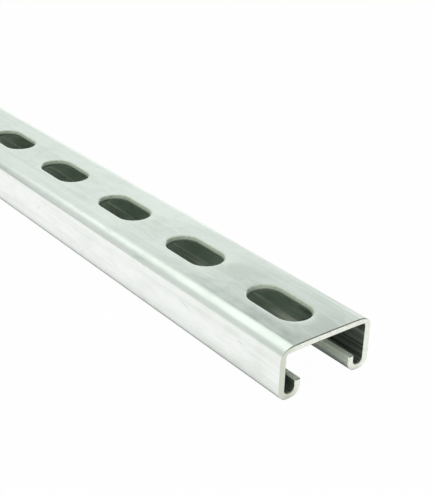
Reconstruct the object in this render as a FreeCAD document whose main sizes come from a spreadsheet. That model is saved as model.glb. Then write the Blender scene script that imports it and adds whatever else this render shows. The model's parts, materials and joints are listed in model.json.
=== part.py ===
"""Slotted strut channel, 41 x 21 mm, rolled from one strip of pre-galvanised steel.

The channel lies on its two lips with the slotted web up. X runs along the length, Y across
and Z up. The origin is the middle of the length and width, at the level of the lips.
"""
import FreeCAD, Part
import enum
import math
import os

import Sketcher

# Driving dimensions in millimetres.
DIMENSIONS = (
    ("channel_length", 1000.0, "length the stock is sold in"),
    ("channel_width", 41.3, "outside, across the two walls"),
    ("channel_height", 20.6, "outside, lips to web"),
    ("sheet_thickness", 2.5, "strip the channel is rolled from"),
    ("web_bend_inside", 2.0, "inside radius between web and wall"),
    ("lip_bend_inside", 1.5, "inside radius of both bends of a lip"),
    ("lip_width", 9.5, "outside of the wall to the mouth"),
    ("lip_height", 6.6, "bottom of the channel to the tip of a lip"),
    ("slot_length", 28.0, "overall, round ends included"),
    ("slot_width", 14.0, "across the slot"),
    ("slot_pitch", 50.0, "centre to centre"),
    ("end_to_slot", 25.0, "cut end to the centre of the first slot"),
    ("slot_rim_break", 0.4, "edge of a slot, drawn in where the punch entered"),
    ("strip_edge_radius", 0.4, "corners of the strip's edges, at the tips of the lips"),
)

# How a sketch constraint numbers the points of an edge, and the sketch's own axes.
Point = enum.IntEnum("Point", "FIRST LAST CENTRE")
Axis = enum.IntEnum("Axis", {"X": -1, "Y": -2})
ORIGIN = (Axis.X, Point.FIRST)

# Edges are found by where they lie, to within this many millimetres.
NEAR = 0.01


def write_sheet(doc):
    """Keep the driving dimensions in a spreadsheet, one aliased cell each."""
    sheet = doc.addObject("Spreadsheet::Sheet", "sheet")
    for row, (name, size, note) in enumerate(DIMENSIONS, start=1):
        sheet.set(f"A{row}", name)
        sheet.set(f"B{row}", str(size))
        sheet.set(f"C{row}", note)
        sheet.setAlias(f"B{row}", name)
    doc.recompute()
    return sheet


def origin_feature(body, role):
    """Return the origin plane or axis of a body that has this role."""
    for feature in body.Origin.OriginFeatures:
        if feature.Role == role:
            return feature
    raise RuntimeError(f"the body has no {role}")


def new_sketch(body, name, plane):
    """Add an empty sketch on one of the body's own origin planes."""
    sketch = body.newObject("Sketcher::SketchObject", name)
    sketch.AttachmentSupport = [(origin_feature(body, plane), "")]
    sketch.MapMode = "FlatFace"
    return sketch


def bind(sketch, constraint, name, expression):
    """Add a dimension to a sketch, name it and bind it to the sheet."""
    index = sketch.addConstraint(constraint)
    sketch.renameConstraint(index, name)
    sketch.setExpression(f"Constraints.{name}", expression)


def add_line(sketch, start, end):
    """Add a straight edge between two points of the sketch plane."""
    return sketch.addGeometry(Part.LineSegment(FreeCAD.Vector(*start), FreeCAD.Vector(*end)), False)


def add_arc(sketch, centre, radius, start, end):
    """Add an anticlockwise arc between two angles in degrees."""
    circle = Part.Circle(FreeCAD.Vector(*centre), FreeCAD.Vector(0, 0, 1), radius)
    return sketch.addGeometry(Part.ArcOfCircle(circle, math.radians(start), math.radians(end)), False)


def draw_half_section(sketch, sheet):
    """Draw the right half of the section, closed along the plane of symmetry.

    The strip runs from the middle of the web round the web bend, down the wall, round the two
    bends of the lip and up to its tip. Each bend is an outer and an inner arc on one centre.
    """
    wall = sheet.channel_width / 2
    top = sheet.channel_height
    strip = sheet.sheet_thickness
    web_inner = sheet.web_bend_inside
    web_outer = web_inner + strip
    lip_inner = sheet.lip_bend_inside
    lip_outer = lip_inner + strip
    mouth = wall - sheet.lip_width
    tip = sheet.lip_height
    web_centre = (wall - web_outer, top - web_outer)
    toe_centre = (wall - lip_outer, lip_outer)
    heel_centre = (mouth + lip_outer, lip_outer)

    # The outside of the strip, from the middle of the web to the tip of the lip.
    outer = [
        add_line(sketch, (0, top), (web_centre[0], top)),
        add_arc(sketch, web_centre, web_outer, 0, 90),
        add_line(sketch, (wall, web_centre[1]), (wall, lip_outer)),
        add_arc(sketch, toe_centre, lip_outer, 270, 360),
        add_line(sketch, (toe_centre[0], 0), (heel_centre[0], 0)),
        add_arc(sketch, heel_centre, lip_outer, 180, 270),
        add_line(sketch, (mouth, lip_outer), (mouth, tip)),
    ]
    # The inside of the strip, over the same stretches in the same order.
    inner = [
        add_line(sketch, (0, top - strip), (web_centre[0], top - strip)),
        add_arc(sketch, web_centre, web_inner, 0, 90),
        add_line(sketch, (wall - strip, web_centre[1]), (wall - strip, lip_outer)),
        add_arc(sketch, toe_centre, lip_inner, 270, 360),
        add_line(sketch, (toe_centre[0], strip), (heel_centre[0], strip)),
        add_arc(sketch, heel_centre, lip_inner, 180, 270),
        add_line(sketch, (mouth + strip, lip_outer), (mouth + strip, tip)),
    ]
    middle = add_line(sketch, (0, top - strip), (0, top))
    lip_tip = add_line(sketch, (mouth, tip), (mouth + strip, tip))

    for side in (outer, inner):
        web, web_bend, wall_line, toe, bottom, heel, lip = side
        # All three arcs run anticlockwise, so each starts at the end nearer the lip.
        tangent_joints = (
            (web, Point.LAST, web_bend, Point.LAST),
            (web_bend, Point.FIRST, wall_line, Point.FIRST),
            (wall_line, Point.LAST, toe, Point.LAST),
            (toe, Point.FIRST, bottom, Point.FIRST),
            (bottom, Point.LAST, heel, Point.LAST),
            (heel, Point.FIRST, lip, Point.FIRST),
        )
        for joint in tangent_joints:
            sketch.addConstraint(Sketcher.Constraint("Tangent", *joint))
        sketch.addConstraint(Sketcher.Constraint("Horizontal", web))
        sketch.addConstraint(Sketcher.Constraint("Vertical", wall_line))
        sketch.addConstraint(Sketcher.Constraint("Horizontal", bottom))
        sketch.addConstraint(Sketcher.Constraint("Vertical", lip))

    for bend in (1, 3, 5):
        both_centres = (outer[bend], Point.CENTRE, inner[bend], Point.CENTRE)
        sketch.addConstraint(Sketcher.Constraint("Coincident", *both_centres))

    closing_joints = (
        (middle, Point.FIRST, inner[0], Point.FIRST),
        (middle, Point.LAST, outer[0], Point.FIRST),
        (lip_tip, Point.FIRST, outer[6], Point.LAST),
        (lip_tip, Point.LAST, inner[6], Point.LAST),
    )
    for joint in closing_joints:
        sketch.addConstraint(Sketcher.Constraint("Coincident", *joint))
    sketch.addConstraint(Sketcher.Constraint("Horizontal", lip_tip))
    sketch.addConstraint(Sketcher.Constraint("PointOnObject", middle, Point.FIRST, Axis.Y))
    sketch.addConstraint(Sketcher.Constraint("PointOnObject", middle, Point.LAST, Axis.Y))
    sketch.addConstraint(Sketcher.Constraint("PointOnObject", outer[4], Point.FIRST, Axis.X))

    bind(sketch, Sketcher.Constraint("DistanceX", *ORIGIN, outer[2], Point.FIRST, wall),
         "half_width", "sheet.channel_width / 2")
    bind(sketch, Sketcher.Constraint("DistanceY", *ORIGIN, outer[0], Point.FIRST, top),
         "height", "sheet.channel_height")
    bind(sketch, Sketcher.Constraint("DistanceY", middle, Point.FIRST, middle, Point.LAST, strip),
         "thickness", "sheet.sheet_thickness")
    bind(sketch, Sketcher.Constraint("Radius", inner[1], web_inner),
         "web_bend", "sheet.web_bend_inside")
    bind(sketch, Sketcher.Constraint("Radius", inner[3], lip_inner),
         "toe_bend", "sheet.lip_bend_inside")
    bind(sketch, Sketcher.Constraint("Radius", inner[5], lip_inner),
         "heel_bend", "sheet.lip_bend_inside")
    bind(sketch, Sketcher.Constraint("DistanceX", lip_tip, Point.FIRST, outer[2], Point.FIRST,
                                     sheet.lip_width), "lip_reach", "sheet.lip_width")
    bind(sketch, Sketcher.Constraint("DistanceY", *ORIGIN, lip_tip, Point.FIRST, tip),
         "lip_rise", "sheet.lip_height")


def draw_slot(sketch, sheet):
    """Draw the first slot, long way along the channel, on the middle line of the web."""
    radius = sheet.slot_width / 2
    straight = sheet.slot_length / 2 - radius
    middle = sheet.end_to_slot - sheet.channel_length / 2
    near_side = add_line(sketch, (middle - straight, -radius), (middle + straight, -radius))
    round_front = add_arc(sketch, (middle + straight, 0), radius, -90, 90)
    far_side = add_line(sketch, (middle + straight, radius), (middle - straight, radius))
    round_back = add_arc(sketch, (middle - straight, 0), radius, 90, 270)

    tangent_joints = (
        (near_side, Point.LAST, round_front, Point.FIRST),
        (round_front, Point.LAST, far_side, Point.FIRST),
        (far_side, Point.LAST, round_back, Point.FIRST),
        (round_back, Point.LAST, near_side, Point.FIRST),
    )
    for joint in tangent_joints:
        sketch.addConstraint(Sketcher.Constraint("Tangent", *joint))
    sketch.addConstraint(Sketcher.Constraint("Horizontal", near_side))
    sketch.addConstraint(Sketcher.Constraint("Horizontal", far_side))
    sketch.addConstraint(Sketcher.Constraint("PointOnObject", round_back, Point.CENTRE, Axis.X))
    bind(sketch, Sketcher.Constraint("Radius", round_back, radius),
         "half_slot", "sheet.slot_width / 2")
    bind(sketch, Sketcher.Constraint("DistanceX", round_back, Point.CENTRE, round_front, Point.CENTRE,
                                     2 * straight), "centres", "sheet.slot_length - sheet.slot_width")
    bind(sketch, Sketcher.Constraint("DistanceX", round_back, Point.CENTRE, *ORIGIN, straight - middle),
         "first_slot", "sheet.channel_length / 2 - sheet.end_to_slot"
         " + (sheet.slot_length - sheet.slot_width) / 2")


def slot_count(sheet):
    """Count the slots that fit with at least the end distance left at both ends."""
    row = sheet.channel_length - 2 * sheet.end_to_slot
    rounding = 1e-6
    return math.floor(row / sheet.slot_pitch + rounding) + 1


def edge_names(shape, wanted):
    """Name the edges of a shape that pass a test of their bounding box."""
    return [f"Edge{number}" for number, edge in enumerate(shape.Edges, start=1) if wanted(edge.BoundBox)]


def dress_edges(body, kind, name, wanted, size, alias):
    """Fillet or chamfer the edges of the body's last feature that pass the test."""
    last = body.Tip
    dressed = body.newObject(f"PartDesign::{kind}", name)
    dressed.Base = (last, edge_names(last.Shape, wanted))
    dressed.setExpression(size, f"sheet.{alias}")
    body.Tip = dressed


def build_channel(doc, sheet):
    """Roll the section out to length, mirror it, punch the row of slots and break the edges."""
    body = doc.addObject("PartDesign::Body", "strut_channel")
    body.Label = "strut_channel"

    section = new_sketch(body, "half_section", "YZ_Plane")
    draw_half_section(section, sheet)
    doc.recompute()

    rolled = body.newObject("PartDesign::Pad", "rolled_half")
    rolled.Profile = section
    rolled.SideType = "Symmetric"
    rolled.setExpression("Length", "sheet.channel_length")

    whole = body.newObject("PartDesign::Mirrored", "whole_section")
    whole.Originals = [rolled]
    whole.MirrorPlane = (origin_feature(body, "XZ_Plane"), [""])
    whole.Refine = True
    body.Tip = whole
    doc.recompute()

    outline = new_sketch(body, "slot_outline", "XY_Plane")
    outline.setExpression("AttachmentOffset.Base.z", "sheet.channel_height")
    draw_slot(outline, sheet)
    punched = body.newObject("PartDesign::Pocket", "first_slot")
    punched.Profile = outline
    punched.setExpression("Length", "sheet.sheet_thickness + sheet.web_bend_inside")

    row = body.newObject("PartDesign::LinearPattern", "slot_row")
    row.Originals = [punched]
    row.Direction = (origin_feature(body, "X_Axis"), [""])
    row.Occurrences = slot_count(sheet)
    row.setExpression("Length", f"sheet.slot_pitch * {row.Occurrences - 1}")
    row.Refine = True
    body.Tip = row
    doc.recompute()
    check_volume(row.Shape, sheet)

    def level_with(box, height):
        return abs(box.ZMin - height) < NEAR and abs(box.ZMax - height) < NEAR

    def is_slot_rim(box):
        inside_ends = abs(box.Center.x) < sheet.channel_length / 2 - NEAR
        beside_slot = max(-box.YMin, box.YMax) < sheet.slot_width / 2 + NEAR
        return level_with(box, sheet.channel_height) and beside_slot and inside_ends

    def is_lip_corner(box):
        full_length = abs(box.XLength - sheet.channel_length) < NEAR
        return level_with(box, sheet.lip_height) and full_length

    dress_edges(body, "Chamfer", "punched_rims", is_slot_rim, "Size", "slot_rim_break")
    doc.recompute()
    dress_edges(body, "Fillet", "lip_corners", is_lip_corner, "Radius", "strip_edge_radius")
    doc.recompute()
    return body


def strip_area(sheet):
    """Work out the area of the section from the run of the strip's middle line."""
    half_strip = sheet.sheet_thickness / 2
    web_outer = sheet.web_bend_inside + sheet.sheet_thickness
    lip_outer = sheet.lip_bend_inside + sheet.sheet_thickness
    straights = (
        sheet.channel_width / 2 - web_outer,
        sheet.channel_height - web_outer - lip_outer,
        sheet.lip_width - 2 * lip_outer,
        sheet.lip_height - lip_outer,
    )
    bends = (
        sheet.web_bend_inside + half_strip,
        sheet.lip_bend_inside + half_strip,
        sheet.lip_bend_inside + half_strip,
    )
    run = sum(straights) + math.pi / 2 * sum(bends)
    return 2 * run * sheet.sheet_thickness


def check_volume(shape, sheet):
    """Stop if the bends or the slots, edges still sharp, leave a volume that isn't worked out."""
    radius = sheet.slot_width / 2
    slot_area = math.pi * radius ** 2 + (sheet.slot_length - sheet.slot_width) * sheet.slot_width
    slots = slot_count(sheet) * slot_area * sheet.sheet_thickness
    expected = strip_area(sheet) * sheet.channel_length - slots
    difference = abs(shape.Volume - expected) / expected
    allowed = 1e-4
    print(f"volume {shape.Volume:.1f} mm3, worked out {expected:.1f} mm3")
    if difference > allowed:
        raise RuntimeError("the slots or the bends are not where they belong")


def check_document(doc, body):
    """Stop before anything is written if a feature failed or the channel isn't one solid."""
    for feature in doc.Objects:
        if "Invalid" in feature.State or "Error" in feature.State:
            raise RuntimeError(f"{feature.Name} failed: {feature.State}")
    if body.Shape.isNull() or not body.Shape.isValid() or len(body.Shape.Solids) != 1:
        raise RuntimeError("the channel is not one valid solid")


def main():
    doc = FreeCAD.newDocument("strut_channel_stock")
    sheet = write_sheet(doc)
    body = build_channel(doc, sheet)
    check_document(doc, body)
    os.makedirs("parts", exist_ok=True)
    body.Shape.exportStep(os.path.join("parts", f"{body.Label}.step"))


main()
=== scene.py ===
"""Looks of the slotted strut channel: its rolled and punched skin, its finish, light and camera.

Everything is in metres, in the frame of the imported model: X along the channel, its near end at
+X, Y across and Z up from the lips to the slotted web.
"""
import json
import math
from collections import namedtuple

import bpy
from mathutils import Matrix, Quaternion, Vector, noise


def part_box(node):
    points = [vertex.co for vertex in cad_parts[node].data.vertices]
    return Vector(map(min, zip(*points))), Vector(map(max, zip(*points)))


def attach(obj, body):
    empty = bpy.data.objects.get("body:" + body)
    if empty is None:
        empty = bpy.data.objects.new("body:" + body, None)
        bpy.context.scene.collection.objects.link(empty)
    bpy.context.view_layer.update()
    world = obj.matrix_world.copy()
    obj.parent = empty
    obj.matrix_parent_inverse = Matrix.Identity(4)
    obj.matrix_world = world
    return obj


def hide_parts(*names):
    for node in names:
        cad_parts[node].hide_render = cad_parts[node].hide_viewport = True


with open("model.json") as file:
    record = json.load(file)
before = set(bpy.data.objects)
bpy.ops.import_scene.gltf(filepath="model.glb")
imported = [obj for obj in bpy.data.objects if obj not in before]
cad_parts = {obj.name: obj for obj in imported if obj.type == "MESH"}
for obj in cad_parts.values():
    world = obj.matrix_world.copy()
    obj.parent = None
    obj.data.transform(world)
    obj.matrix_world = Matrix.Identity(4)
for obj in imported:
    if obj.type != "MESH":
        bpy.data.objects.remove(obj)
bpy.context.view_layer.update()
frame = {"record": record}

MM = 0.001

# The channel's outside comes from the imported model.
NODE = "strut_channel"
LOW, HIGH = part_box(NODE)
LENGTH = HIGH.x - LOW.x
HALF_LENGTH = LENGTH / 2
HALF_WIDTH = (HIGH.y - LOW.y) / 2
HEIGHT = HIGH.z

# The slots come from the record's bolt holes.
SLOT_PAIR = next(mount for mount in frame["record"]["mounts"] if mount["kind"] == "bolt_pattern")
SLOT_RADIUS = SLOT_PAIR["dims"]["hole_r_mm"] * MM
SLOT_HALF_STRAIGHT = SLOT_PAIR["dims"]["slot_length_mm"] * MM / 2 - SLOT_RADIUS
SLOT_PITCH = SLOT_PAIR["dims"]["spacing_x_mm"] * MM
SLOT_COUNT = round(LENGTH / SLOT_PITCH)

# The section, as in the part's source.
THICKNESS = 2.5 * MM
LIP_BEND = 1.5 * MM + THICKNESS
LIP_WIDTH = 9.5 * MM
LIP_HEIGHT = 6.6 * MM
TIP_ROUND = 0.4 * MM

# The web bend stands for the solid's arc of 4.5 mm. It turns off the web at once and runs out
# softly into the wall: with across and up as shares of its reach, it is across^a + up^b = 1.
WEB_BEND = 5.8 * MM
WEB_BEND_POWER_ACROSS = 2.0
WEB_BEND_POWER_UP = 3.3
WEB_BEND_INSIDE = 1.3 * MM
WEB_FLAT = HALF_WIDTH - WEB_BEND

# The slots' rims. The punch sat a little off the die, so a rim leans: on the side that it leans
# to, it is wider and deeper by one share, and drawn in deeper by the other. On the half that faces
# the bare side, the punch took the zinc off it. Both sides are directions along X and Y.
RIM_WIDTH = 0.66 * MM
RIM_DEPTH = 0.38 * MM
RIM_LEAN = 0.25
DRAW_IN_LEAN = 0.75
RIM_LEANS_TO = (0.45, -0.89)
BARE_SIDE = (-0.35, 0.94)

# The web is drawn in round a slot: how deep at the hole, how fast that fades, and where it ends.
DRAW_IN = 0.18 * MM
DRAW_IN_REACH = 0.8 * MM
DRAW_IN_END = 3.2 * MM

# Below its rim, a slot's wall narrows over the taper's depth and flares out where it tore.
TAPER = 0.20 * MM
TAPER_DEPTH = 1.35 * MM
FRACTURE_FLARE = 0.12 * MM

# The broken edge of a cut end, and the crown of the web, which grows towards a cut end.
CUT_EDGE = 0.30 * MM
WEB_CROWN = 0.05 * MM
END_CROWN = 0.25 * MM
END_CROWN_REACH = 45 * MM

# The faint waves of rolling. The walls' lengths are along and up, the web's along and across, and
# the bends' along, across and up. The starts take walls and web from different parts of the noise.
ROLLING_WAVE = 0.030 * MM
BEND_WAVE = 0.024 * MM
WALL_WAVE_LENGTHS = (70 * MM, 20 * MM)
WEB_WAVE_LENGTHS = (55 * MM, 14 * MM)
BEND_WAVE_LENGTHS = (21 * MM, 9 * MM, 7 * MM)
WALL_WAVE_START = 3.1
WEB_WAVE_START = 7.7

# How finely the forms are divided.
CELL_STEPS_LONG = 16
CELL_STEPS_SHORT = 8
WEB_BEND_STEPS = 14
LIP_BEND_STEPS = 7
WALL_STEPS = 4
RIM_STEPS = 5
TIP_STEPS = 3

# The rings of the web round a slot: how far out of the slot the outermost one lies, and for the
# others the share of the way from the rim to where the drawing in ends.
OUTERMOST_RING = 4.2 * MM
DRAWN_RING_SHARES = (1, 0.6, 0.35, 0.2, 0.1)

# Points that agree on a grid this fine are one point, and edges bent by more than this are sharp.
GRID_STEPS_PER_METRE = 1e7
SHARP_ANGLE = math.radians(32)

SKIN, INNER_SKIN, MOUTH_SKIN, SHEARED, SAWN = range(5)

# A place on the strip's section, the direction that faces out of the steel there, and the run to
# it round the outside, from the middle of the web.
Station = namedtuple("Station", ("y", "z", "out_y", "out_z", "run"))


class Skin:
    """Collects points, faces, materials and surface coordinates, and joins points that meet."""

    def __init__(self):
        self.points = []
        self.index = {}
        self.faces = []
        self.materials = []
        self.surface = []

    def point(self, place):
        key = tuple(round(value * GRID_STEPS_PER_METRE) for value in place)
        if key not in self.index:
            self.index[key] = len(self.points)
            self.points.append(tuple(place))
        return self.index[key]

    def face(self, places, coordinates, material):
        """Add one face from its corners, listed anticlockwise as seen from outside."""
        corners = [self.point(place) for place in places]
        kept = [k for k in range(len(corners)) if corners[k] != corners[k - 1]]
        if len(kept) < 3:
            return
        self.faces.append([corners[k] for k in kept])
        self.surface.append([coordinates[k] for k in kept])
        self.materials.append(material)

    def to_object(self, name):
        mesh = bpy.data.meshes.new(name)
        mesh.from_pydata(self.points, [], self.faces)
        mesh.polygons.foreach_set("material_index", self.materials)
        layer = mesh.uv_layers.new(name="along_and_round")
        flat = [value for face in self.surface for corner in face for value in corner]
        layer.data.foreach_set("uv", flat)
        mesh.validate()
        mesh.update()
        made = bpy.data.objects.new(name, mesh)
        bpy.context.scene.collection.objects.link(made)
        return made


def spread(start, end, steps):
    """Return steps + 1 evenly spaced values from start to end."""
    return [start + (end - start) * k / steps for k in range(steps + 1)]


def half_strip():
    """Follow the outside of the strip from the middle of the web to the right lip's tip."""
    stations = []
    run = 0.0

    def add(y, z, out_y, out_z):
        nonlocal run
        if stations:
            run += math.hypot(y - stations[-1].y, z - stations[-1].z)
        stations.append(Station(y, z, out_y, out_z, run))

    def add_bend(centre_y, centre_z, radius, first, last, steps):
        for angle in spread(first, last, steps)[1:]:
            turn = math.radians(angle)
            across, up = math.cos(turn), math.sin(turn)
            add(centre_y + radius * across, centre_z + radius * up, across, up)

    def add_soft_bend(centre_y, centre_z):
        for turn in spread(0, math.pi / 2, WEB_BEND_STEPS)[1:]:
            across = math.sin(turn) ** (2 / WEB_BEND_POWER_ACROSS)
            up = abs(math.cos(turn)) ** (2 / WEB_BEND_POWER_UP)
            slope_across = WEB_BEND_POWER_ACROSS * across ** (WEB_BEND_POWER_ACROSS - 1)
            slope_up = WEB_BEND_POWER_UP * up ** (WEB_BEND_POWER_UP - 1)
            size = math.hypot(slope_across, slope_up)
            add(centre_y + WEB_BEND * across, centre_z + WEB_BEND * up,
                slope_across / size, slope_up / size)

    mouth = HALF_WIDTH - LIP_WIDTH
    for y in spread(0, WEB_FLAT, CELL_STEPS_SHORT // 2):
        add(y, HEIGHT, 0, 1)
    add_soft_bend(WEB_FLAT, HEIGHT - WEB_BEND)
    for z in spread(HEIGHT - WEB_BEND, LIP_BEND, WALL_STEPS)[1:]:
        add(HALF_WIDTH, z, 1, 0)
    add_bend(HALF_WIDTH - LIP_BEND, LIP_BEND, LIP_BEND, 0, -90, LIP_BEND_STEPS)
    add(mouth + LIP_BEND, 0, 0, -1)
    add_bend(mouth + LIP_BEND, LIP_BEND, LIP_BEND, 270, 180, LIP_BEND_STEPS)
    add(mouth, LIP_HEIGHT - TIP_ROUND, -1, 0)
    return stations


def lip_tip(side, run):
    """Go over the tip of a lip, from the mouth's side to the side that faces the wall."""
    mouth = side * (HALF_WIDTH - LIP_WIDTH)
    base = LIP_HEIGHT - TIP_ROUND
    corners = ((TIP_ROUND, 180), (THICKNESS - TIP_ROUND, 90))
    tip = []
    for inset, first in corners:
        for angle in spread(first, first - 90, TIP_STEPS):
            turn = math.radians(angle)
            across = side * math.cos(turn)
            up = math.sin(turn)
            y = mouth + side * inset + TIP_ROUND * across
            tip.append(Station(y, base + TIP_ROUND * up, across, up, run))
    return tip[1:-1]


def inner_station(outer):
    """Return the inside's station across from one outside; the web bend is tighter there."""
    on_web_bend = abs(outer.y) > WEB_FLAT and outer.z > HEIGHT - WEB_BEND
    if on_web_bend:
        side = math.copysign(1, outer.y)
        y = side * (HALF_WIDTH - THICKNESS - WEB_BEND_INSIDE) + WEB_BEND_INSIDE * outer.out_y
        z = HEIGHT - THICKNESS - WEB_BEND_INSIDE + WEB_BEND_INSIDE * outer.out_z
    else:
        y = outer.y - THICKNESS * outer.out_y
        z = outer.z - THICKNESS * outer.out_z
    return Station(y, z, -outer.out_y, -outer.out_z, outer.run)


def make_section():
    """Return the section's outside, right lip's tip, inside and left lip's tip.

    The outside and the inside run from the left lip to the right one. The right tip runs from the
    outside to the inside, and the left tip from the inside to the outside.
    """
    right = half_strip()
    left = [Station(-s.y, s.z, -s.out_y, s.out_z, -s.run) for s in reversed(right[1:])]
    outside = left + right
    inside = [inner_station(station) for station in outside]
    tip_run = right[-1].run + TIP_ROUND
    return outside, lip_tip(1, tip_run), inside, lip_tip(-1, -tip_run)[::-1]


def close_loop(section):
    """Join the section's four stretches into one closed loop."""
    outside, right_tip, inside, left_tip = section
    return outside + right_tip + inside[::-1] + left_tip


def stretch_materials(section):
    """Return the material of each stretch of the closed loop."""
    outside, right_tip, inside, _ = section
    outer = [MOUTH_SKIN] + [SKIN] * (len(outside) - 3) + [MOUTH_SKIN]
    tip = [MOUTH_SKIN] * (len(right_tip) + 1)
    return outer + tip + [INNER_SKIN] * (len(inside) - 1) + tip


def is_web_flat(first, second):
    """Tell whether a stretch between two stations lies on the flat of the web."""
    return all(abs(station.out_z) == 1 and station.z > HEIGHT / 2 for station in (first, second))


def cell_ends(cell):
    """Return where the stretch of web round one slot starts and ends."""
    start = -HALF_LENGTH + cell * SLOT_PITCH
    end = start + SLOT_PITCH
    if cell == 0:
        start += CUT_EDGE
    if cell == SLOT_COUNT - 1:
        end -= CUT_EDGE
    return start, end


def lengthwise_stations():
    """Return the places along X where the rolled surfaces are divided, from end to end."""
    places = []
    for cell in range(SLOT_COUNT):
        start, end = cell_ends(cell)
        places += spread(start, end, CELL_STEPS_LONG)[:-1]
    return places + [HALF_LENGTH - CUT_EDGE]


def roll_surfaces(skin, section):
    """Sweep the section along the channel, except over the slotted flats of the web."""
    loop = close_loop(section)
    places = lengthwise_stations()
    for k, (first, material) in enumerate(zip(loop, stretch_materials(section))):
        second = loop[(k + 1) % len(loop)]
        if is_web_flat(first, second):
            continue
        for near, far in zip(places[1:], places[:-1]):
            corners = [(far, first.y, first.z), (near, first.y, first.z),
                       (near, second.y, second.z), (far, second.y, second.z)]
            rounds = [(far, first.run), (near, first.run), (near, second.run), (far, second.run)]
            skin.face(corners, rounds, material)


def cut_end(skin, section, end):
    """Break the edges of one cut end, -1 or 1 along X, and close the strip's section there."""
    outside, right_tip, inside, left_tip = section
    loop = close_loop(section)

    def on_edge(station):
        return (end * (HALF_LENGTH - CUT_EDGE), station.y, station.z)

    def on_face(station):
        return (end * HALF_LENGTH, station.y - CUT_EDGE * station.out_y,
                station.z - CUT_EDGE * station.out_z)

    def add(corners):
        rounds = [(y, z) for _, y, z in corners]
        if end < 0:
            corners, rounds = corners[::-1], rounds[::-1]
        skin.face(corners, rounds, SAWN)

    def close(stations):
        add([on_face(station) for station in stations])

    for k, first in enumerate(loop):
        second = loop[(k + 1) % len(loop)]
        add([on_edge(first), on_face(first), on_face(second), on_edge(second)])
    for k in range(len(outside) - 1):
        close([outside[k], inside[k], inside[k + 1], outside[k + 1]])
    close([outside[-1], inside[-1]] + right_tip[::-1])
    close([outside[0]] + left_tip[::-1] + [inside[0]])


def slot_outline(centre, gap):
    """Return points round a slot, gap outside its edge, from its near end anticlockwise."""
    quarter_steps = CELL_STEPS_LONG // 2
    straight_steps = CELL_STEPS_LONG // 2
    radius = SLOT_RADIUS + gap
    points = []

    def add_arc(side, first, last, steps):
        for angle in spread(first, last, steps)[:-1]:
            turn = math.radians(angle)
            points.append((centre + side * SLOT_HALF_STRAIGHT + radius * math.cos(turn),
                           radius * math.sin(turn)))

    def add_straight(side):
        for x in spread(side * SLOT_HALF_STRAIGHT, -side * SLOT_HALF_STRAIGHT, straight_steps)[:-1]:
            points.append((centre + x, side * radius))

    add_arc(1, 0, 90, quarter_steps)
    add_straight(1)
    add_arc(-1, 90, 270, 2 * quarter_steps)
    add_straight(-1)
    add_arc(1, 270, 360, quarter_steps)
    return points


def cell_border(start, end):
    """Return points round the edge of a slot's stretch of web, matched to the slot's outline."""
    half_short = CELL_STEPS_SHORT // 2
    across = spread(-WEB_FLAT, WEB_FLAT, CELL_STEPS_SHORT)
    along = spread(start, end, CELL_STEPS_LONG)
    border = [(end, y) for y in across[half_short:]]
    border += [(x, WEB_FLAT) for x in along[-2::-1]]
    border += [(start, y) for y in across[-2::-1]]
    border += [(x, -WEB_FLAT) for x in along[1:]]
    border += [(end, y) for y in across[1:half_short]]
    return border


def lay_rings(skin, rings, materials, upward=True):
    """Fill the bands between rings of as many points, each stretch round with its material."""
    for outer, inner in zip(rings[:-1], rings[1:]):
        for k, material in enumerate(materials):
            after = (k + 1) % len(materials)
            corners = [outer[k], outer[after], inner[after], inner[k]]
            if not upward:
                corners.reverse()
            skin.face(corners, [(x, y) for x, y, _ in corners], material)


def halfway(ring_a, ring_b):
    """Return the ring midway between two rings."""
    return [tuple(a + (b - a) * 0.5 for a, b in zip(p, q)) for p, q in zip(ring_a, ring_b)]


class SlotRim:
    """The rolled rim that the punch left round one slot, and the web drawn in round it."""

    def __init__(self, centre):
        self.hole = slot_outline(centre, TAPER)
        further = slot_outline(centre, TAPER + MM)
        self.outward = [((out_x - x) / MM, (out_y - y) / MM)
                        for (x, y), (out_x, out_y) in zip(self.hole, further)]
        leans = [x * RIM_LEANS_TO[0] + y * RIM_LEANS_TO[1] for x, y in self.outward]
        self.widths = [RIM_WIDTH * (1 + RIM_LEAN * lean) for lean in leans]
        self.depths = [RIM_DEPTH * (1 + RIM_LEAN * lean) for lean in leans]
        self.draws = [DRAW_IN * (1 + DRAW_IN_LEAN * lean) for lean in leans]

    def ring(self, distances, falls):
        """Go round the hole at these distances, at these falls below the drawn-in web."""
        points = []
        for k, (distance, fall) in enumerate(zip(distances, falls)):
            x, y = self.hole[k]
            out_x, out_y = self.outward[k]
            drop = self.draws[k] * math.exp(-distance / DRAW_IN_REACH) + fall
            points.append((x + distance * out_x, y + distance * out_y, HEIGHT - drop))
        return points

    def on_web(self, share):
        """Follow the drawn-in web at this share of the way from the rim to where it ends."""
        distances = [width + share * (DRAW_IN_END - width) for width in self.widths]
        return self.ring(distances, [0] * len(distances))

    def on_rim(self, turn):
        """Follow the rim where it has turned this far, from the web down into the slot."""
        distances = [width * (1 - math.sin(turn)) for width in self.widths]
        falls = [depth * (1 - math.cos(turn)) for depth in self.depths]
        return self.ring(distances, falls)

    def materials(self):
        """Return bare steel for the half that faces the bare side, and zinc for the other."""
        return [SHEARED if x * BARE_SIDE[0] + y * BARE_SIDE[1] > 0 else SKIN
                for x, y in self.outward]


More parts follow.
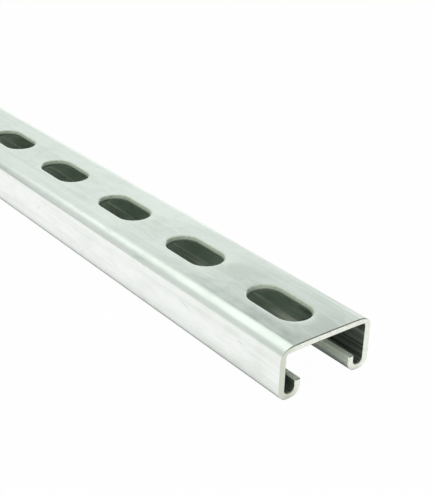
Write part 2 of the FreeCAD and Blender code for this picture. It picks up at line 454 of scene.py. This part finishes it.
def punch_slot(skin, cell):
    """Lay the web round one slot: drawn-in surface, rolled rim, sheared wall and underside."""
    centre = -HALF_LENGTH + (cell + 0.5) * SLOT_PITCH
    border = cell_border(*cell_ends(cell))
    count = len(border)
    rim = SlotRim(centre)

    def level_ring(gap, z):
        return [(x, y, z) for x, y in slot_outline(centre, gap)]

    edge = [(x, y, HEIGHT) for x, y in border]
    outermost = level_ring(OUTERMOST_RING, HEIGHT)
    web_rings = [edge, halfway(edge, outermost), outermost]
    web_rings += [rim.on_web(share) for share in DRAWN_RING_SHARES]
    rim_rings = [rim.on_rim(turn) for turn in spread(0, math.pi / 2, RIM_STEPS)]
    lay_rings(skin, web_rings + rim_rings[:1], [SKIN] * count)
    lay_rings(skin, rim_rings, rim.materials())

    tapered = HEIGHT - TAPER_DEPTH
    underside = HEIGHT - THICKNESS
    wall_rings = [rim_rings[-1], level_ring(0, tapered),
                  level_ring(FRACTURE_FLARE / 2, (tapered + underside) / 2),
                  level_ring(FRACTURE_FLARE, underside)]
    lay_rings(skin, wall_rings, [SHEARED] * count)

    edge_below = [(x, y, underside) for x, y in border]
    rings_below = [edge_below, halfway(edge_below, wall_rings[-1]), wall_rings[-1]]
    lay_rings(skin, rings_below, [INNER_SKIN] * count, upward=False)


def wave(skin):
    """Give the rolled strip its faint waves, and the crown of its web, which grows at a cut end."""
    wall_along, wall_up = WALL_WAVE_LENGTHS
    web_along, web_across = WEB_WAVE_LENGTHS
    bend_along, bend_across, bend_up = BEND_WAVE_LENGTHS
    for k, (x, y, z) in enumerate(skin.points):
        lift = z / HEIGHT
        wall_wave = noise.noise(Vector((x / wall_along, WALL_WAVE_START, z / wall_up)))
        web_wave = noise.noise(Vector((x / web_along, y / web_across, WEB_WAVE_START)))
        bend_wave = noise.noise(Vector((x / bend_along, y / bend_across, z / bend_up)))
        across = ROLLING_WAVE * wall_wave + BEND_WAVE * bend_wave
        to_end = HALF_LENGTH - abs(x)
        crown = WEB_CROWN + END_CROWN * math.exp(-(to_end / END_CROWN_REACH) ** 2)
        drop = crown * (y / HALF_WIDTH) ** 2
        skin.points[k] = (x, y + across * lift, z + lift * (ROLLING_WAVE * web_wave - drop))


def build_channel():
    """Make the channel's whole surface as one closed mesh."""
    skin = Skin()
    section = make_section()
    roll_surfaces(skin, section)
    for cell in range(SLOT_COUNT):
        punch_slot(skin, cell)
    for end in (-1, 1):
        cut_end(skin, section, end)
    wave(skin)
    made = skin.to_object("rolled_channel")
    made.data.shade_smooth()
    made.data.set_sharp_from_angle(angle=SHARP_ANGLE)
    weighted = made.modifiers.new("even_flats", "WEIGHTED_NORMAL")
    weighted.keep_sharp = True
    return made


# A mix node has sockets for every kind of value, and these are the places of those for colours.
FIRST_COLOUR_IN = 6
SECOND_COLOUR_IN = 7
COLOUR_OUT = 2


class Nodes:
    """Short ways to build the node tree of a material or of the world."""

    def __init__(self, owner):
        owner.use_nodes = True
        self.tree = owner.node_tree
        self.shader = self.tree.nodes.get("Principled BSDF")

    def add(self, kind, **values):
        node = self.tree.nodes.new(kind)
        for name, value in values.items():
            setattr(node, name, value)
        return node

    def link(self, source, target):
        self.tree.links.new(source, target)

    def feed(self, value, socket):
        """Link an output to a socket, or set the socket to a plain value."""
        if isinstance(value, bpy.types.NodeSocket):
            self.link(value, socket)
        else:
            socket.default_value = value

    def coordinates(self, name):
        return self.add("ShaderNodeTexCoord").outputs[name]

    def split(self, vector):
        """Return a vector's X, Y and Z."""
        node = self.add("ShaderNodeSeparateXYZ")
        self.link(vector, node.inputs["Vector"])
        return node.outputs["X"], node.outputs["Y"], node.outputs["Z"]

    def pattern(self, kind, place, per_metre, **sockets):
        """Add a pattern that changes about so often in a metre along each axis of the place."""
        mapping = self.add("ShaderNodeMapping")
        mapping.inputs["Scale"].default_value = per_metre
        self.link(place, mapping.inputs["Vector"])
        node = self.add(kind)
        node.inputs["Scale"].default_value = 1.0
        for name, value in sockets.items():
            node.inputs[name].default_value = value
        self.link(mapping.outputs["Vector"], node.inputs["Vector"])
        return node

    def noise(self, place, per_metre, detail, roughness, distortion=0.0):
        node = self.pattern("ShaderNodeTexNoise", place, per_metre,
                            Detail=detail, Roughness=roughness, Distortion=distortion)
        return node.outputs["Fac"]

    def noises(self, place, rows):
        """Return each row's noise by its name."""
        return {name: self.noise(place, *row) for name, row in rows.items()}

    def cells(self, place, per_metre):
        """Give each cell of a Voronoi pattern its own value between 0 and 1."""
        node = self.pattern("ShaderNodeTexVoronoi", place, per_metre)
        colour = self.add("ShaderNodeSeparateColor")
        self.link(node.outputs["Color"], colour.inputs["Color"])
        return colour.outputs["Red"]

    def span(self, value, low, high, new_low, new_high, smooth=False):
        """Map a value from one range to another, held at the ends."""
        node = self.add("ShaderNodeMapRange", clamp=True)
        if smooth:
            node.interpolation_type = "SMOOTHSTEP"
        ranges = {"From Min": low, "From Max": high, "To Min": new_low, "To Max": new_high}
        for name, number in ranges.items():
            node.inputs[name].default_value = number
        self.link(value, node.inputs["Value"])
        return node.outputs["Result"]

    def total(self, patterns, rows):
        """Add up what each row makes of its pattern.

        A row holds the pattern's name, the two ends of its range, and what each end gives.
        """
        added = 0.0
        for name, *numbers in rows:
            added = self.plus(added, self.span(patterns[name], *numbers))
        return added

    def math(self, operation, first, second=0.0):
        node = self.add("ShaderNodeMath", operation=operation)
        self.feed(first, node.inputs[0])
        self.feed(second, node.inputs[1])
        return node.outputs["Value"]

    def plus(self, first, second):
        return self.math("ADD", first, second)

    def minus(self, first, second):
        return self.math("SUBTRACT", first, second)

    def times(self, first, second):
        return self.math("MULTIPLY", first, second)

    def larger(self, first, second):
        return self.math("MAXIMUM", first, second)

    def smaller(self, first, second):
        return self.math("MINIMUM", first, second)

    def distance(self, value):
        """Return how far a value is from 0."""
        return self.math("ABSOLUTE", value)

    def sway(self, pattern, reach):
        """Turn a pattern's departure from its middle into a shift, in shares of this reach."""
        return self.times(self.minus(pattern, 0.5), reach)

    def blend(self, factor, first, second):
        """Mix two colours by a factor between 0 and 1."""
        node = self.add("ShaderNodeMix", data_type="RGBA")
        self.link(factor, node.inputs["Factor"])
        self.feed(first, node.inputs[FIRST_COLOUR_IN])
        self.feed(second, node.inputs[SECOND_COLOUR_IN])
        return node.outputs[COLOUR_OUT]

    def finish_metal(self, colour, roughness, metallic, relief, relief_depth):
        """Give the shader its colour, its roughness, its share of metal and its relief."""
        bump = self.add("ShaderNodeBump")
        bump.inputs["Distance"].default_value = relief_depth
        self.link(relief, bump.inputs["Height"])
        self.link(colour, self.shader.inputs["Base Color"])
        self.link(roughness, self.shader.inputs["Roughness"])
        self.shader.inputs["Metallic"].default_value = metallic
        self.link(bump.outputs["Normal"], self.shader.inputs["Normal"])


# The zinc of the outside, and its noises. Here and below, a row of noise holds how often it changes
# in a metre along each axis, its detail, its roughness and any distortion. On the zinc, the first
# axis is along the channel and the second is round it.
ZINC_PALE = (0.925, 0.95, 0.92, 1)
ZINC_DULL = (0.81, 0.84, 0.80, 1)
# The worn colour also paints a dark reflection on the right web bend.
ZINC_WORN_AND_PAINTED_REFLECTION = (0.52, 0.57, 0.54, 1)
ZINC_SCRATCH = (0.60, 0.64, 0.60, 1)
ZINC_NOISES = {
    "streaks": ((18, 1300, 1), 4.0, 0.6),
    "broad_streaks": ((7, 260, 1), 3.0, 0.55),
    "clouds": ((30, 90, 1), 4.0, 0.6),
    "blotches": ((120, 190, 1), 3.0, 0.55),
    "smears": ((55, 130, 1), 4.0, 0.6, 1.4),
}
SPANGLE_PER_METRE = (420, 520, 1)

# Handling marks grow towards the cut ends: where they start and are at their full strength.
END_MARKS_REACH = (HALF_LENGTH - 130 * MM, HALF_LENGTH - 25 * MM)

# The worn patch on the left of the web near the +X end: where it starts along the channel and is
# at its full strength, where it is at its full strength across the web and starts there, how far
# its edge wanders, and where it stops at the bend.
PATCH_REACH = (HALF_LENGTH - 120 * MM, HALF_LENGTH - 20 * MM)
PATCH_SIDE = (-14.5 * MM, -4.0 * MM)
PATCH_WANDER = 15 * MM
PATCH_EDGE = (-15.5 * MM, -15.0 * MM)

# A painted reflection: a dark line over the right web bend near the +X end, along the channel and
# then round it.
PAINTED_REFLECTION_REACH = (HALF_LENGTH - 85 * MM, HALF_LENGTH - 15 * MM)
PAINTED_REFLECTION_START_ROUND = (16.0 * MM, 17.2 * MM)
PAINTED_REFLECTION_END_ROUND = (19.5 * MM, 21.0 * MM)

# The press rubbed the bridges between the slots dull: how far from a slot's centre a bridge starts
# and is rubbed fully, how far from the middle of the web the rubbing fades out, and its strength
# far from the cut ends and near them.
BRIDGE = (11.0 * MM, 20.0 * MM)
BRIDGE_SIDE = (3.0 * MM, 17.0 * MM)
BRIDGE_STRENGTH = (0.25, 1)

# The press left a faint curved mark on the -X side of each slot: its radius round the slot's -X
# end, how far that wanders, its half width, how far to that side it lies, how far the clouds let
# it show, and how much it dulls the zinc.
PRESS_MARK_RADIUS = 15.0 * MM
PRESS_MARK_WANDER = 12 * MM
PRESS_MARK_HALF_WIDTH = 1.3 * MM
PRESS_MARK_SIDE = (10.5 * MM, 13.5 * MM)
PRESS_MARKS_SHOWN_BY = (("clouds", 0.4, 0.6, 0.1, 1),)
PRESS_MARKS_DULL = 0.3

# Fine scratches follow the middle level of a noise: how often it changes in a metre along the
# channel and round it, and how far from that level a scratch reaches. Another noise breaks them
# up. They show this share of their own colour, and add this much to the roughness.
SCRATCHES = ((16, 60, 0.006), (45, 40, 0.005))
END_SCRATCHES = (12, 300, 0.007)
SCRATCH_DETAIL = 1.5
SCRATCH_ROUGHNESS = 0.4
BREAKS_NOISE = ((70, 90, 1), 2.0, 0.5)
BREAKS_RANGE = (0.53, 0.68)
SCRATCHES_COLOUR = 0.7
SCRATCHES_ROUGHEN = 0.2

# What dulls the zinc all over and in places, what wears it off in places and paints a dark
# reflection on the right web bend, what roughens it, and how much of each pattern's relief it has.
DULLED_BY = (
    ("broad_streaks", 0.5, 0.72, 0, 0.6),
    ("clouds", 0.52, 0.8, 0, 0.4),
    ("streaks", 0.5, 0.75, 0, 0.25),
    ("blotches", 0.45, 0.7, 0, 0.3),
    ("smears", 0.48, 0.62, 0, 0.15),
)
PLACES_DULLED_BY = {
    "near_end": (("clouds", 0.42, 0.62, 0, 0.5),),
    "bridges": (("smears", 0.42, 0.58, 0.1, 0.9),),
}
PLACES_WORN_AND_PAINTED_REFLECTION = {
    "patch": (("streaks", 0.36, 0.64, 0.30, 0.62), ("blotches", 0.4, 0.62, 0, 0.35)),
    # The line is painted reflection: a dark line on the right web bend near the +X end.
    "line": (("clouds", 0.35, 0.6, 0.45, 0.8),),
    "bridges": (("smears", 0.40, 0.60, 0.12, 0.30),),
}
ROUGHENED_BY = (
    ("streaks", 0.3, 0.7, 0.11, 0.18),
    ("clouds", 0.35, 0.7, 0, 0.05),
    ("spangle", 0, 1, 0, 0.03),
)
RELIEF_OF = {
    "broad_streaks": 2.5,
    "streaks": 0.4,
    "blotches": 0.8,
    "spangle": 0.2,
    "press_marks": 2.2,
    "smears": 0.5,
    "scratches": -0.5,
}
ZINC_RELIEF = 0.012 * MM


def worn_patch(n, along, across, clouds):
    """Return how far each place lies in the worn patch, with an uneven edge."""
    lengthwise = n.span(along, *PATCH_REACH, 0, 1)
    shifted = n.plus(across, n.sway(clouds, PATCH_WANDER))
    sidewise = n.span(shifted, *PATCH_SIDE, 1, 0, smooth=True)
    off_bend = n.span(across, *PATCH_EDGE, 0, 1)
    return n.times(n.times(lengthwise, sidewise), off_bend)


def painted_reflection_line(n, along, around):
    """Return how far each place lies on the painted dark reflection over the right web bend."""
    across_line = n.times(n.span(around, *PAINTED_REFLECTION_START_ROUND, 0, 1, smooth=True),
                          n.span(around, *PAINTED_REFLECTION_END_ROUND, 1, 0, smooth=True))
    return n.times(across_line, n.span(along, *PAINTED_REFLECTION_REACH, 0, 1))


def place_in_cell(n, along):
    """Return how far along its own slot's stretch of web each place lies."""
    return n.math("MODULO", n.plus(along, HALF_LENGTH), SLOT_PITCH)


def rubbed_bridges(n, along, across, near_end):
    """Return how far each place lies on the rubbed bridges, which fade away from the cut ends."""
    off_centre = n.distance(n.minus(place_in_cell(n, along), SLOT_PITCH / 2))
    rubbed = n.times(n.span(off_centre, *BRIDGE, 0, 1, smooth=True),
                     n.span(n.distance(across), *BRIDGE_SIDE, 1, 0, smooth=True))
    return n.times(rubbed, n.span(near_end, 0, 1, *BRIDGE_STRENGTH))


def press_marks(n, along, across, blotches):
    """Return the faint curved marks beside the slots, the same beside each."""
    off_end = n.minus(place_in_cell(n, along), SLOT_PITCH / 2 - SLOT_HALF_STRAIGHT)
    squares = n.plus(n.math("POWER", n.distance(off_end), 2.0),
                     n.math("POWER", n.distance(across), 2.0))
    radius = n.plus(n.math("SQRT", squares), n.sway(blotches, PRESS_MARK_WANDER))
    off_ring = n.distance(n.minus(radius, PRESS_MARK_RADIUS))
    ring = n.span(off_ring, 0, PRESS_MARK_HALF_WIDTH, 1, 0, smooth=True)
    beside = n.span(n.times(off_end, -1.0), *PRESS_MARK_SIDE, 0, 1, smooth=True)
    return n.times(ring, beside)


def hairlines(n, surface, along_per_metre, round_per_metre, width):
    """Return thin wandering lines: a noise's places near its middle level, broken by another."""
    field = n.noise(surface, (along_per_metre, round_per_metre, 1), SCRATCH_DETAIL, SCRATCH_ROUGHNESS)
    line = n.span(n.distance(n.minus(field, 0.5)), 0, width, 1, 0)
    breaks = n.noise(surface, *BREAKS_NOISE)
    return n.times(line, n.span(breaks, *BREAKS_RANGE, 0, 1))


def fine_scratches(n, surface, near_end):
    """Return the fine scratches, with more of them near the cut ends."""
    scratches = n.times(hairlines(n, surface, *END_SCRATCHES), near_end)
    for kind in SCRATCHES:
        scratches = n.larger(scratches, hairlines(n, surface, *kind))
    return scratches


def zinc_patterns(n, surface):
    """Return the noises and marks of the zinc by name, each between 0 and 1."""
    along, across, _ = n.split(surface)
    found = n.noises(surface, ZINC_NOISES)
    found["spangle"] = n.cells(surface, SPANGLE_PER_METRE)
    found["near_end"] = n.span(n.distance(along), *END_MARKS_REACH, 0, 1)
    found["patch"] = worn_patch(n, along, across, found["clouds"])
    # The line is a painted dark reflection on the right web bend.
    found["line"] = painted_reflection_line(n, along, across)
    found["bridges"] = rubbed_bridges(n, along, across, found["near_end"])
    found["scratches"] = fine_scratches(n, surface, found["near_end"])
    found["press_marks"] = n.times(press_marks(n, along, across, found["blotches"]),
                                   n.total(found, PRESS_MARKS_SHOWN_BY))
    return found


def zinc_colour(n, patterns):
    """Blend the pale zinc with the dull, the worn with its painted dark reflection, and the
    scratched.
    """
    dull = n.plus(n.total(patterns, DULLED_BY), n.times(patterns["press_marks"], PRESS_MARKS_DULL))
    for place, rows in PLACES_DULLED_BY.items():
        dull = n.plus(dull, n.times(patterns[place], n.total(patterns, rows)))
    worn_and_painted_reflection = 0.0
    for place, rows in PLACES_WORN_AND_PAINTED_REFLECTION.items():
        worn_and_painted_reflection = n.larger(worn_and_painted_reflection, n.times(patterns[place], n.total(patterns, rows)))
    colour = n.blend(n.smaller(dull, 1.0), ZINC_PALE, ZINC_DULL)
    colour = n.blend(worn_and_painted_reflection, colour, ZINC_WORN_AND_PAINTED_REFLECTION)
    return n.blend(n.times(patterns["scratches"], SCRATCHES_COLOUR), colour, ZINC_SCRATCH)


def galvanised_skin():
    """Pale zinc with rolling streaks along the channel, cloudy patches and fine scratches."""
    material = bpy.data.materials.new("pre_galvanised_zinc")
    n = Nodes(material)
    patterns = zinc_patterns(n, n.coordinates("UV"))
    rough = n.plus(n.total(patterns, ROUGHENED_BY),
                   n.times(patterns["scratches"], SCRATCHES_ROUGHEN))
    relief = 0.0
    for name, share in RELIEF_OF.items():
        relief = n.plus(relief, n.times(patterns[name], share))
    n.finish_metal(zinc_colour(n, patterns), rough, 1.0, relief, ZINC_RELIEF)
    return material


# The zinc inside and on the lips' faces towards the mouth, which the rolls don't polish. Near the
# cut ends, painted shade darkens the inside and painted light brightens the lips: where each starts
# along the channel and is at its full strength, and how far that wanders.
INNER_ZINC = (0.87, 0.95, 0.86, 1)
INNER_ZINC_DULL = (0.75, 0.82, 0.73, 1)
INNER_PAINTED_SHADE = (0.08, 0.095, 0.075, 1)
INNER_METALLIC = 0.55
MOUTH_ZINC = (0.64, 0.72, 0.59, 1)
MOUTH_ZINC_DULL = (0.50, 0.57, 0.46, 1)
MOUTH_PAINTED_LIGHT = (0.96, 1.00, 0.88, 1)
MOUTH_METALLIC = 0.1
PAINTED_SHADE_REACH = (HALF_LENGTH - 40 * MM, HALF_LENGTH - 20 * MM)
PAINTED_LIGHT_REACH = (HALF_LENGTH - 48 * MM, HALF_LENGTH - 30 * MM)
PAINTED_END_WANDER = 50 * MM
PAINTED_END_SHOWN_BY = (("streaks", 0.4, 0.66, 1, 0.6),)
UNPOLISHED_NOISES = {
    "streaks": ((10, 700, 1), 4.0, 0.6),
    "clouds": ((40, 120, 1), 4.0, 0.6),
}
UNPOLISHED_DULLED_BY = (("streaks", 0.35, 0.7, 0, 0.6), ("clouds", 0.4, 0.7, 0, 0.4))
UNPOLISHED_ROUGHENED_BY = (("streaks", 0.3, 0.7, 0.34, 0.46), ("clouds", 0.3, 0.7, 0, 0.1))
UNPOLISHED_RELIEF = 0.02 * MM


def unpolished_zinc(name, pale, dark, painted_end_tone, painted_end_reach, metallic):
    """The duller zinc that the rolls don't polish, with a tone painted near the cut ends: shade
    inside, light on the lips.
    """
    material = bpy.data.materials.new(name)
    n = Nodes(material)
    surface = n.coordinates("UV")
    along = n.split(surface)[0]
    patterns = n.noises(surface, UNPOLISHED_NOISES)
    colour = n.blend(n.total(patterns, UNPOLISHED_DULLED_BY), pale, dark)
    # Near the cut ends, blend in the painted tone: painted shade inside, painted light on the lips.
    off_middle = n.plus(n.distance(along), n.sway(patterns["clouds"], PAINTED_END_WANDER))
    painted_end_share = n.times(n.span(off_middle, *painted_end_reach, 0, 1, smooth=True),
                      n.total(patterns, PAINTED_END_SHOWN_BY))
    n.finish_metal(n.blend(painted_end_share, colour, painted_end_tone), n.total(patterns, UNPOLISHED_ROUGHENED_BY),
                   metallic, patterns["streaks"], UNPOLISHED_RELIEF)
    return material


def inner_skin():
    """The zinc inside the channel, with painted shade near the cut ends."""
    return unpolished_zinc("inner_zinc", INNER_ZINC, INNER_ZINC_DULL, INNER_PAINTED_SHADE, PAINTED_SHADE_REACH,
                           INNER_METALLIC)


def mouth_skin():
    """The zinc on the lips' tips and on their faces towards the mouth, with painted light near the
    cut ends.
    """
    return unpolished_zinc("mouth_zinc", MOUTH_ZINC, MOUTH_ZINC_DULL, MOUTH_PAINTED_LIGHT, PAINTED_LIGHT_REACH,
                           MOUTH_METALLIC)


# The wall of a punched slot is fractured below and burnished above, and its fractured part is also
# painted dark as shade: its border starts and ends at these heights, and wanders by this much.
BURNISHED_STEEL = (0.70, 0.75, 0.64, 1)
FRACTURED_STEEL_PAINTED_SHADE = (0.20, 0.23, 0.18, 1)
FRACTURE_LOW = HEIGHT - 1.9 * MM
FRACTURE_HIGH = HEIGHT - 1.2 * MM
FRACTURE_WANDER = 0.6 * MM
SHEARED_NOISES = {"scores": ((700, 700, 60), 2.0, 0.5)}
SHEARED_DARKENED_BY = (("scores", 0.4, 0.75, 0, 0.3),)
SHEARED_ROUGHENED_BY = (("scores", 0.3, 0.7, 0.42, 0.60),)
SHEARED_METALLIC = 0.2
SHEARED_RELIEF = 0.015 * MM


def sheared_steel():
    """The wall of a punched slot, scored up and down by the punch, rough below and painted dark there
    as shade.
    """
    material = bpy.data.materials.new("sheared_steel")
    n = Nodes(material)
    place = n.coordinates("Object")
    patterns = n.noises(place, SHEARED_NOISES)
    height = n.plus(n.split(place)[2], n.sway(patterns["scores"], FRACTURE_WANDER))
    # The torn lower wall is real, and its dark colour is painted shade.
    fractured_and_painted_shade = n.span(height, FRACTURE_LOW, FRACTURE_HIGH, 1, 0, smooth=True)
    dark = n.larger(fractured_and_painted_shade, n.total(patterns, SHEARED_DARKENED_BY))
    n.finish_metal(n.blend(dark, BURNISHED_STEEL, FRACTURED_STEEL_PAINTED_SHADE),
                   n.total(patterns, SHEARED_ROUGHENED_BY),
                   SHEARED_METALLIC, patterns["scores"], SHEARED_RELIEF)
    return material


# The cut end of the strip: its left side grows duller from this place across.
SAWN_STEEL = (0.93, 0.95, 0.87, 1)
SAWN_STEEL_DARK = (0.70, 0.74, 0.63, 1)
DULL_SIDE_START = -12 * MM
DULL_SIDE_STRENGTH = 1.1
SAWN_NOISES = {
    "lines": ((1, 700, 2600), 3.0, 0.6),
    "spots": ((1, 420, 420), 3.0, 0.6),
}
SAWN_DULLED_BY = (("lines", 0.45, 0.75, 0, 0.5), ("spots", 0.45, 0.7, 0, 0.6))
SAWN_ROUGHENED_BY = (("lines", 0.3, 0.7, 0.30, 0.45),)
SAWN_RELIEF = 0.03 * MM


def sawn_steel():
    """The cut end of the strip, with the fine lines of the saw and a few duller spots."""
    material = bpy.data.materials.new("sawn_steel")
    n = Nodes(material)
    place = n.coordinates("Object")
    across = n.split(place)[1]
    patterns = n.noises(place, SAWN_NOISES)
    dull_side = n.span(across, DULL_SIDE_START, -HALF_WIDTH, 0, DULL_SIDE_STRENGTH)
    dull = n.smaller(n.plus(n.total(patterns, SAWN_DULLED_BY), dull_side), 1.0)
    n.finish_metal(n.blend(dull, SAWN_STEEL, SAWN_STEEL_DARK), n.total(patterns, SAWN_ROUGHENED_BY),
                   1.0, patterns["lines"], SAWN_RELIEF)
    return material


# The floor: its half size, how far it lies below the lips, its paper's colour in the open and, as
# painted shade, close to the channel, how white the camera and a reflection see it, how open it
# lies where a reflection starts to see it white and where it does so fully, and how far off a thing
# shades it.
FLOOR_HALF_SIZE = 6.0
FLOOR_BELOW = 0.02 * MM
FLOOR_PAPER = (0.70, 0.70, 0.70, 1)
FLOOR_PAPER_PAINTED_SHADE = (0.39, 0.39, 0.39, 1)
FLOOR_WHITE_TO_CAMERA = 0.985
FLOOR_WHITE_TO_METAL = 0.96
OPEN_SHARE_DARK = 0.36
OPEN_SHARE_WHITE = 0.68
SHADE_REACH = 0.03


def studio_white():
    """White paper, shown white to the camera and, where it lies open, to the metal; close to the
    channel its colour is painted darker, as shade.
    """
    material = bpy.data.materials.new("studio_white")
    n = Nodes(material)
    n.tree.nodes.clear()
    paper = n.add("ShaderNodeBsdfDiffuse")
    white = n.add("ShaderNodeEmission")
    path = n.add("ShaderNodeLightPath")
    openness = n.add("ShaderNodeAmbientOcclusion")
    openness.inputs["Distance"].default_value = SHADE_REACH
    lies_open = n.span(openness.outputs["AO"], OPEN_SHARE_DARK, OPEN_SHARE_WHITE,
                       0, FLOOR_WHITE_TO_METAL)
    # Close to the channel, the paper's colour is painted shade.
    n.link(n.blend(lies_open, FLOOR_PAPER_PAINTED_SHADE, FLOOR_PAPER), paper.inputs["Color"])
    reflected = n.larger(path.outputs["Is Glossy Ray"], path.outputs["Is Transmission Ray"])
    share = n.larger(n.times(path.outputs["Is Camera Ray"], FLOOR_WHITE_TO_CAMERA),
                     n.times(reflected, lies_open))
    mix = n.add("ShaderNodeMixShader")
    n.link(share, mix.inputs["Fac"])
    n.link(paper.outputs["BSDF"], mix.inputs[1])
    n.link(white.outputs["Emission"], mix.inputs[2])
    n.link(mix.outputs["Shader"], n.add("ShaderNodeOutputMaterial").inputs["Surface"])
    return material


def make_floor():
    """A plain white floor.

    What a reflection sees of it fades to its real shading where the channel stands close over it,
    and there its paper's colour is also painted darker as shade, so that the inside of the channel
    stays dark.
    """
    mesh = bpy.data.meshes.new("studio_floor")
    half = FLOOR_HALF_SIZE
    corners = [(x, y, -FLOOR_BELOW)
               for x, y in ((-half, -half), (half, -half), (half, half), (-half, half))]
    mesh.from_pydata(corners, [], [(0, 1, 2, 3)])
    mesh.materials.append(studio_white())
    floor = bpy.data.objects.new("studio_floor", mesh)
    bpy.context.scene.collection.objects.link(floor)


def heading(azimuth, elevation):
    """Return the direction with this azimuth, from +X towards +Y, and elevation, in degrees."""
    turn, rise = math.radians(azimuth), math.radians(elevation)
    level = math.cos(rise)
    return Vector((level * math.cos(turn), level * math.sin(turn), math.sin(rise)))


# Brightness of the studio round the channel, by the sine of the height over the horizon.
STUDIO = ((-0.15, 1.08), (0.01, 1.08), (0.12, 1.00), (0.26, 0.86), (0.78, 0.86), (0.92, 1.10))
STUDIO_TINT = (0.945, 1.01, 0.965, 1)

# A large pale panel overhead: two directions that its low edge passes through, the azimuth of its
# upright edge, how softly each edge runs out, and how much brighter than the rest it is.
PANEL_LOW_EDGE = ((142.5, 36.9), (163.2, 34.6))
PANEL_LOW_SOFTNESS = 0.005
PANEL_UPRIGHT_EDGE = 137.5
PANEL_UPRIGHT_SOFTNESS = 0.03
PANEL_GAIN = 1.22

# The border under the panel's low edge: how wide it is, how softly it runs out, and the share of
# light it takes.
BORDER_WIDTH = 0.09
BORDER_SOFTNESS = 0.03
BORDER_TAKES = 0.17

# Darker things in the studio: azimuth, elevation, half width of the core and of the soft edge in
# degrees, and the share of light they take.
DARKER = (
    (134, 31, 2, 9, 0.15),
    (156, 18, 3, 12, 0.06),
    (-149, 18, 0, 43.7, 0.34),
    (65, 42, 22, 46, 0.88),
    (0, 5, 25, 65, 0.30),
)


def towards(n, direction, aim):
    """Return the cosine between each direction of the world and this aim."""
    node = n.add("ShaderNodeVectorMath", operation="DOT_PRODUCT")
    n.link(direction, node.inputs[0])
    node.inputs[1].default_value = aim
    return node.outputs["Value"]


def studio_light(n, direction):
    """Return the studio's brightness by height, less what the darker things take."""
    ramp = n.add("ShaderNodeValToRGB")
    elements = ramp.color_ramp.elements
    while len(elements) < len(STUDIO):
        elements.new(0.5)
    for element, (height, level) in zip(elements, STUDIO):
        element.position = (height + 1) / 2
        element.color = (level, level, level, 1)
    n.link(n.span(towards(n, direction, (0, 0, 1)), -1, 1, 0, 1), ramp.inputs["Fac"])
    light = ramp.outputs["Color"]
    for azimuth, elevation, core, edge, taken in DARKER:
        nearness = towards(n, direction, heading(azimuth, elevation))
        left = n.span(nearness, math.cos(math.radians(edge)), math.cos(math.radians(core)),
                      1, 1 - taken, smooth=True)
        light = n.times(light, left)
    return light


def panel_and_border(n, direction):
    """Return how much brighter the panel overhead is, and the share that its border leaves."""
    first, second = [heading(*place) for place in PANEL_LOW_EDGE]
    over_low_edge = towards(n, direction, first.cross(second).normalized())
    beside_upright_edge = towards(n, direction, heading(PANEL_UPRIGHT_EDGE + 90, 0))
    over = n.span(over_low_edge, -PANEL_LOW_SOFTNESS, PANEL_LOW_SOFTNESS, 0, 1, smooth=True)
    beside = n.span(beside_upright_edge, -PANEL_UPRIGHT_SOFTNESS, PANEL_UPRIGHT_SOFTNESS, 0, 1,
                    smooth=True)
    gain = n.span(n.times(over, beside), 0, 1, 1, PANEL_GAIN)
    border_middle = n.plus(over_low_edge, PANEL_LOW_SOFTNESS + BORDER_WIDTH / 2)
    border = n.span(n.distance(border_middle), BORDER_WIDTH / 2, BORDER_WIDTH / 2 + BORDER_SOFTNESS,
                    1 - BORDER_TAKES, 1, smooth=True)
    return gain, border


def make_world():
    """A soft, pale studio with a large panel overhead and a few darker things to reflect."""
    world = bpy.data.worlds.new("studio")
    bpy.context.scene.world = world
    n = Nodes(world)
    n.tree.nodes.clear()
    direction = n.coordinates("Generated")
    gain, border = panel_and_border(n, direction)
    soft = n.add("ShaderNodeBackground")
    soft.inputs["Color"].default_value = STUDIO_TINT
    n.link(n.times(n.times(studio_light(n, direction), gain), border), soft.inputs["Strength"])
    n.link(soft.outputs["Background"], n.add("ShaderNodeOutputWorld").inputs["Surface"])


# A weak square light that faces the top of the near end: its heading from there and its distance.
SOFTBOX_HEADING = (176, 49)
SOFTBOX_DISTANCE = 1.6
SOFTBOX_SIZE = 1.0
SOFTBOX_WATTS = 0.15

# The camera stands off the near end, on the left wall's side, and looks down on the web. Its lens
# and its sensor are in millimetres, and it sees what lies between two distances.
CAMERA_PLACE = Vector((HALF_LENGTH + 203.3 * MM, -210.0 * MM, 191.0 * MM))
CAMERA_AIM = Vector((HALF_LENGTH - 71.9 * MM, 8.6 * MM, HEIGHT))
CAMERA_ROLL = math.radians(1.89)
CAMERA_LENS = 72.98
CAMERA_SENSOR_WIDTH = 36
CAMERA_SEES_FROM = 0.01
CAMERA_SEES_TO = 50


def place_facing(name, data, place, aim, roll=0.0):
    """Add a light or the camera at a place, facing a point."""
    made = bpy.data.objects.new(name, data)
    made.location = place
    made.rotation_mode = "QUATERNION"
    level = (aim - place).to_track_quat("-Z", "Y")
    made.rotation_quaternion = level @ Quaternion((0, 0, 1), roll)
    bpy.context.scene.collection.objects.link(made)
    return made


def make_softbox():
    light = bpy.data.lights.new("softbox", "AREA")
    light.shape = "SQUARE"
    light.size = SOFTBOX_SIZE
    light.energy = SOFTBOX_WATTS
    near_end = Vector((HALF_LENGTH, 0, HEIGHT))
    place_facing("softbox", light, near_end + SOFTBOX_DISTANCE * heading(*SOFTBOX_HEADING), near_end)


def make_camera():
    data = bpy.data.cameras.new("photo_view")
    data.sensor_width = CAMERA_SENSOR_WIDTH
    data.lens = CAMERA_LENS
    data.clip_start = CAMERA_SEES_FROM
    data.clip_end = CAMERA_SEES_TO
    bpy.context.scene.camera = place_facing("photo_view", data, CAMERA_PLACE, CAMERA_AIM, CAMERA_ROLL)


make_camera()
channel = build_channel()
for make_material in (galvanised_skin, inner_skin, mouth_skin, sheared_steel, sawn_steel):
    channel.data.materials.append(make_material())
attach(channel, "root")
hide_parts(NODE)

make_floor()
make_world()
make_softbox()

bpy.context.scene.view_settings.view_transform = "Standard"
